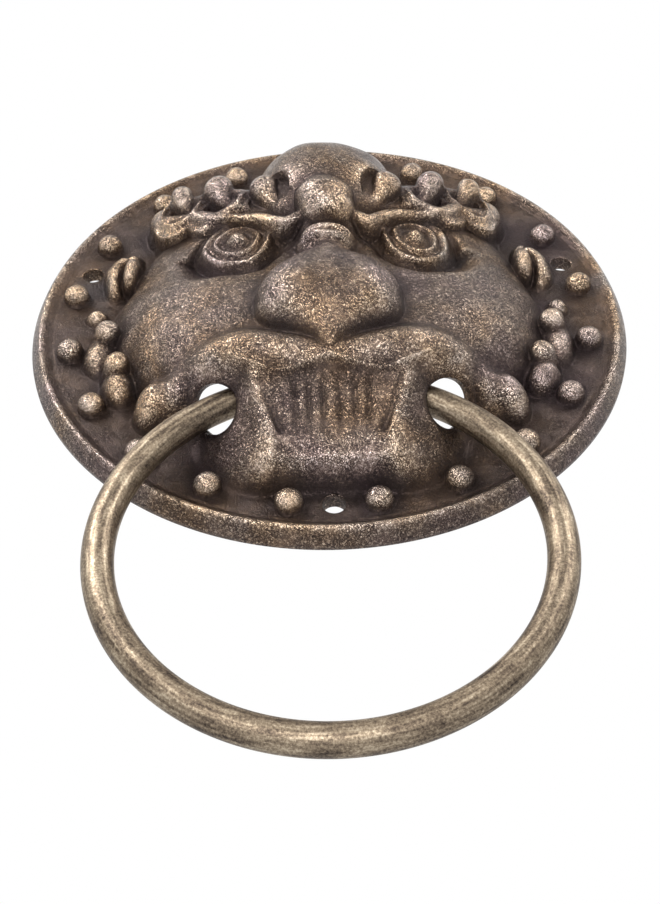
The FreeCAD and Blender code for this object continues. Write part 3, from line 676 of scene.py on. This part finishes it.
def newMaterial(name):
    material = bpy.data.materials.new(name)
    material.use_nodes = True
    tree = material.node_tree
    return material, tree, tree.nodes["Principled BSDF"]


def addNode(tree, kind, inputs=None, **settings):
    node = tree.nodes.new(kind)
    for key, value in settings.items():
        setattr(node, key, value)
    for key, value in (inputs or {}).items():
        if hasattr(value, "is_output"):
            tree.links.new(value, node.inputs[key])
        else:
            node.inputs[key].default_value = value
    return node


def mathNode(tree, operation, first, second=0.0, third=0.0, clamp=False):
    node = tree.nodes.new("ShaderNodeMath")
    node.operation = operation
    node.use_clamp = clamp
    for socket, value in zip(node.inputs, (first, second, third)):
        if hasattr(value, "is_output"):
            tree.links.new(value, socket)
        else:
            socket.default_value = value
    return node.outputs[0]


def ramp(tree, value, stops):
    node = tree.nodes.new("ShaderNodeValToRGB")
    elements = node.color_ramp.elements
    while len(elements) < len(stops):
        elements.new(0.5)
    for element, (place, colour) in zip(elements, stops):
        element.position = place
        element.color = (*colour, 1)
    tree.links.new(value, node.inputs[0])
    return node.outputs[0]


def castSkin():
    # the crackled, pitted skin of an old casting: a height, masks of its cracks and grain, and a fleck
    # for each cell
    group = bpy.data.node_groups.new("castSkin", "ShaderNodeTree")
    group.interface.new_socket("Cell", in_out="INPUT", socket_type="NodeSocketFloat")
    for name in ("Height", "Crack", "Grain", "Fleck"):
        group.interface.new_socket(name, in_out="OUTPUT", socket_type="NodeSocketFloat")
    start = group.nodes.new("NodeGroupInput")
    end = group.nodes.new("NodeGroupOutput")
    coords = group.nodes.new("ShaderNodeTexCoord").outputs["Object"]
    wander = addNode(group, "ShaderNodeTexNoise", {"Vector": coords, "Scale": 1100.0, "Detail": 3.0})
    bend = addNode(group, "ShaderNodeVectorMath", {0: wander.outputs["Color"], 1: 3 * (0.0012,)},
                   operation="MULTIPLY")
    bent = addNode(group, "ShaderNodeVectorMath", {0: coords, 1: bend.outputs[0]}, operation="ADD")
    placed = {"Vector": bent.outputs[0], "Scale": start.outputs["Cell"]}
    cells = addNode(group, "ShaderNodeTexVoronoi", placed, feature="DISTANCE_TO_EDGE")
    crack = ramp(group, cells.outputs["Distance"], [(0.0, (1, 1, 1)), (0.13, (0, 0, 0))])
    tiles = addNode(group, "ShaderNodeTexVoronoi", placed)
    fleck = addNode(group, "ShaderNodeSeparateColor", {"Color": tiles.outputs["Color"]})
    patches = addNode(group, "ShaderNodeTexNoise", {"Vector": coords, "Scale": 260.0, "Detail": 3.0})
    patch = ramp(group, patches.outputs["Fac"], [(0.38, (0.3, 0.3, 0.3)), (0.58, (1, 1, 1))])
    crackDepth = mathNode(group, "MULTIPLY", crack, patch)
    grain = addNode(group, "ShaderNodeTexNoise",
                    {"Vector": coords, "Scale": 2200.0, "Detail": 4.0, "Roughness": 0.7})
    lumps = addNode(group, "ShaderNodeTexNoise", {"Vector": coords, "Scale": 600.0, "Detail": 2.0})
    height = mathNode(group, "ADD", mathNode(group, "MULTIPLY", grain.outputs["Fac"], 0.9),
                      mathNode(group, "MULTIPLY", lumps.outputs["Fac"], 0.8))
    height = mathNode(group, "SUBTRACT", height, mathNode(group, "MULTIPLY", crackDepth, 0.7))
    group.links.new(height, end.inputs["Height"])
    group.links.new(crackDepth, end.inputs["Crack"])
    group.links.new(grain.outputs["Fac"], end.inputs["Grain"])
    group.links.new(fleck.outputs[0], end.inputs["Fleck"])
    return group


def bronze():
    # cast bronze gone brown, rubbed bright where it stands out and dark where it lies deep, the dark partly
    # patina and partly painted shade
    material, tree, shader = newMaterial("old_bronze")
    skin = addNode(tree, "ShaderNodeGroup", node_tree=castSkin())
    skin.inputs["Cell"].default_value = 2300.0
    # raised parts are brightened as wear, and deep ones darkened partly as patina and partly as painted shade
    wornAndShaded = addNode(tree, "ShaderNodeAttribute", attribute_name="wearAndShade")
    lifted = mathNode(tree, "MULTIPLY_ADD", wornAndShaded.outputs["Fac"], 0.5, 0.56, clamp=True)
    speck = mathNode(tree, "MULTIPLY_ADD", skin.outputs["Grain"], 1.45, -0.725)
    speck = mathNode(tree, "ADD", speck, mathNode(tree, "MULTIPLY_ADD", skin.outputs["Fleck"], 0.36, -0.18))
    flat = addNode(tree, "ShaderNodeAttribute", attribute_name="plain").outputs["Fac"]
    rough = mathNode(tree, "MULTIPLY_ADD", flat, -0.6, 1.0)
    mixed = mathNode(tree, "MULTIPLY_ADD", speck, rough, lifted)
    mixed = mathNode(tree, "SUBTRACT", mixed, mathNode(tree, "MULTIPLY", flat, 0.2))
    dark = mathNode(tree, "MULTIPLY", mathNode(tree, "MULTIPLY", skin.outputs["Crack"], 0.95), rough)
    mixed = mathNode(tree, "SUBTRACT", mixed, dark, clamp=True)
    colour = ramp(tree, mixed, [(0.0, (0.038, 0.028, 0.025)), (0.3, (0.062, 0.046, 0.038)),
                                (0.55, (0.108, 0.079, 0.061)), (0.78, (0.22, 0.172, 0.132)),
                                (1.0, (0.44, 0.372, 0.305))])
    coords = tree.nodes.new("ShaderNodeTexCoord").outputs["Object"]
    stains = addNode(tree, "ShaderNodeTexNoise", {"Vector": coords, "Scale": 55.0, "Detail": 4.0})
    tint = ramp(tree, stains.outputs["Fac"], [(0.36, (0.88, 0.83, 0.94)), (0.48, (1, 0.97, 0.98)),
                                              (0.6, (1.15, 1.0, 0.82)), (0.7, (0.95, 1, 1.08))])
    shade = addNode(tree, "ShaderNodeMix", {"Factor": 1.0}, data_type="RGBA", blend_type="MULTIPLY")
    tree.links.new(colour, shade.inputs[6])
    tree.links.new(tint, shade.inputs[7])
    tree.links.new(shade.outputs[2], shader.inputs["Base Color"])
    shader.inputs["Metallic"].default_value = 0.9
    tree.links.new(mathNode(tree, "MULTIPLY_ADD", mixed, -0.2, 0.38), shader.inputs["Roughness"])
    bump = addNode(tree, "ShaderNodeBump",
                   {"Height": skin.outputs["Height"], "Strength": 1.0, "Distance": 0.16 * mm})
    tree.links.new(bump.outputs[0], shader.inputs["Normal"])
    return material


def brass():
    # rod brass, drawn and handled: its streaks run along the rod
    material, tree, shader = newMaterial("rubbed_brass")
    coords = tree.nodes.new("ShaderNodeTexCoord").outputs["Object"]
    broad = addNode(tree, "ShaderNodeTexNoise",
                    {"Vector": coords, "Scale": 110.0, "Detail": 4.0, "Roughness": 0.65})
    fine = addNode(tree, "ShaderNodeTexNoise",
                   {"Vector": coords, "Scale": 2300.0, "Detail": 4.0, "Roughness": 0.7})
    drawn = addNode(tree, "ShaderNodeAttribute", attribute_name="streakPlace")
    streak = addNode(tree, "ShaderNodeTexNoise",
                     {"Vector": drawn.outputs["Vector"], "Scale": 1500.0, "Detail": 3.0})
    both = mathNode(tree, "ADD", mathNode(tree, "MULTIPLY", broad.outputs["Fac"], 0.27),
                    mathNode(tree, "MULTIPLY", fine.outputs["Fac"], 0.4))
    both = mathNode(tree, "MULTIPLY_ADD", streak.outputs["Fac"], 0.33, both)
    colour = ramp(tree, both, [(0.38, (0.035, 0.026, 0.021)), (0.46, (0.12, 0.09, 0.064)),
                               (0.53, (0.235, 0.183, 0.127)), (0.64, (0.5, 0.42, 0.31))])
    tree.links.new(colour, shader.inputs["Base Color"])
    shader.inputs["Metallic"].default_value = 0.95
    tree.links.new(mathNode(tree, "MULTIPLY_ADD", both, -0.3, 0.6), shader.inputs["Roughness"])
    bump = addNode(tree, "ShaderNodeBump",
                   {"Height": fine.outputs["Fac"], "Strength": 0.6, "Distance": 0.06 * mm})
    tree.links.new(bump.outputs[0], shader.inputs["Normal"])
    return material


mask.data.materials.append(bronze())
ringPiece.data.materials.append(brass())
print("materials made")

# Camera, lights, world and floor. The camera's turns are in degrees, its distance and aim in millimetres.

view = {"turn": -0.23, "rise": 45.3, "roll": -1.31, "away": 269.8, "aim": (-0.48, 0, -35.6), "lens": 57.4}
turnAngle, riseAngle, rollAngle = (math.radians(view[name]) for name in ("turn", "rise", "roll"))
back = Vector((math.sin(turnAngle) * math.cos(riseAngle), -math.sin(riseAngle),
               -math.cos(turnAngle) * math.cos(riseAngle)))
right = Vector((math.cos(turnAngle), 0, math.sin(turnAngle)))
up = back.cross(right)
right, up = (math.cos(rollAngle) * right + math.sin(rollAngle) * up,
             -math.sin(rollAngle) * right + math.cos(rollAngle) * up)
place = (Vector(view["aim"]) + back * view["away"]) * mm
cameraData = bpy.data.cameras.new("camera")
cameraData.lens = view["lens"]
cameraData.sensor_width = 36
camera = bpy.data.objects.new("camera", cameraData)
bpy.context.collection.objects.link(camera)
camera.matrix_world = Matrix(((right.x, up.x, back.x, place.x), (right.y, up.y, back.y, place.y),
                              (right.z, up.z, back.z, place.z), (0, 0, 0, 1)))
bpy.context.scene.camera = camera

# each soft lamp's place, power and width, in metres and watts
lamps = {"key": ((-0.5, -0.55, 0.5), 6.9, 0.3), "fill": ((0.55, -0.5, 0.45), 3.6, 0.3),
         "front": ((-0.1, -0.75, -0.35), 7.4, 0.4)}
lampAim = Vector((0, -0.01, -0.03))
for name, (where, energy, size) in lamps.items():
    data = bpy.data.lights.new(name, "AREA")
    data.energy = energy
    data.size = size
    lamp = bpy.data.objects.new(name, data)
    bpy.context.collection.objects.link(lamp)
    lamp.location = where
    lamp.rotation_euler = (lampAim - Vector(where)).to_track_quat("-Z", "Y").to_euler()

world = bpy.data.worlds.new("world")
bpy.context.scene.world = world
world.use_nodes = True
tree = world.node_tree
tree.nodes.clear()
rays = tree.nodes.new("ShaderNodeLightPath")
white = addNode(tree, "ShaderNodeBackground", {"Color": (1, 1, 1, 1), "Strength": 1.0})
soft = addNode(tree, "ShaderNodeBackground", {"Color": (0.92, 0.95, 1, 1), "Strength": 0.85})
# what the camera sees, and what metal mirrors, is the white studio; the rest gets its plain pale light
seen = mathNode(tree, "MAXIMUM", rays.outputs["Is Camera Ray"], rays.outputs["Is Glossy Ray"])
seen = mathNode(tree, "MAXIMUM", seen, rays.outputs["Is Transmission Ray"])
mixed = addNode(tree, "ShaderNodeMixShader", {0: seen, 1: soft.outputs[0], 2: white.outputs[0]})
worldOut = tree.nodes.new("ShaderNodeOutputWorld")
tree.links.new(mixed.outputs[0], worldOut.inputs["Surface"])

ground = {"half": 3.0, "level": -0.38}
corners = [(x * ground["half"], y * ground["half"], 0) for x, y in ((-1, -1), (1, -1), (1, 1), (-1, 1))]
floorMesh = bpy.data.meshes.new("floor")
floorMesh.from_pydata(corners, [], [(0, 1, 2, 3)])
floor = bpy.data.objects.new("floor", floorMesh)
bpy.context.collection.objects.link(floor)
floor.location = (0, 0, ground["level"])
floorMaterial, floorTree, floorShader = newMaterial("pale_floor")
floorNoise = addNode(floorTree, "ShaderNodeTexNoise", {"Scale": 60.0, "Detail": 2.0})
floorColour = ramp(floorTree, floorNoise.outputs["Fac"], [(0.3, 3 * (0.84,)), (0.7, 3 * (0.87,))])
floorTree.links.new(floorColour, floorShader.inputs["Base Color"])
floorShader.inputs["Roughness"].default_value = 0.8
floorMesh.materials.append(floorMaterial)

bpy.context.scene.view_settings.view_transform = "Standard"
print("camera and lights set")

bpy.context.view_layer.update()
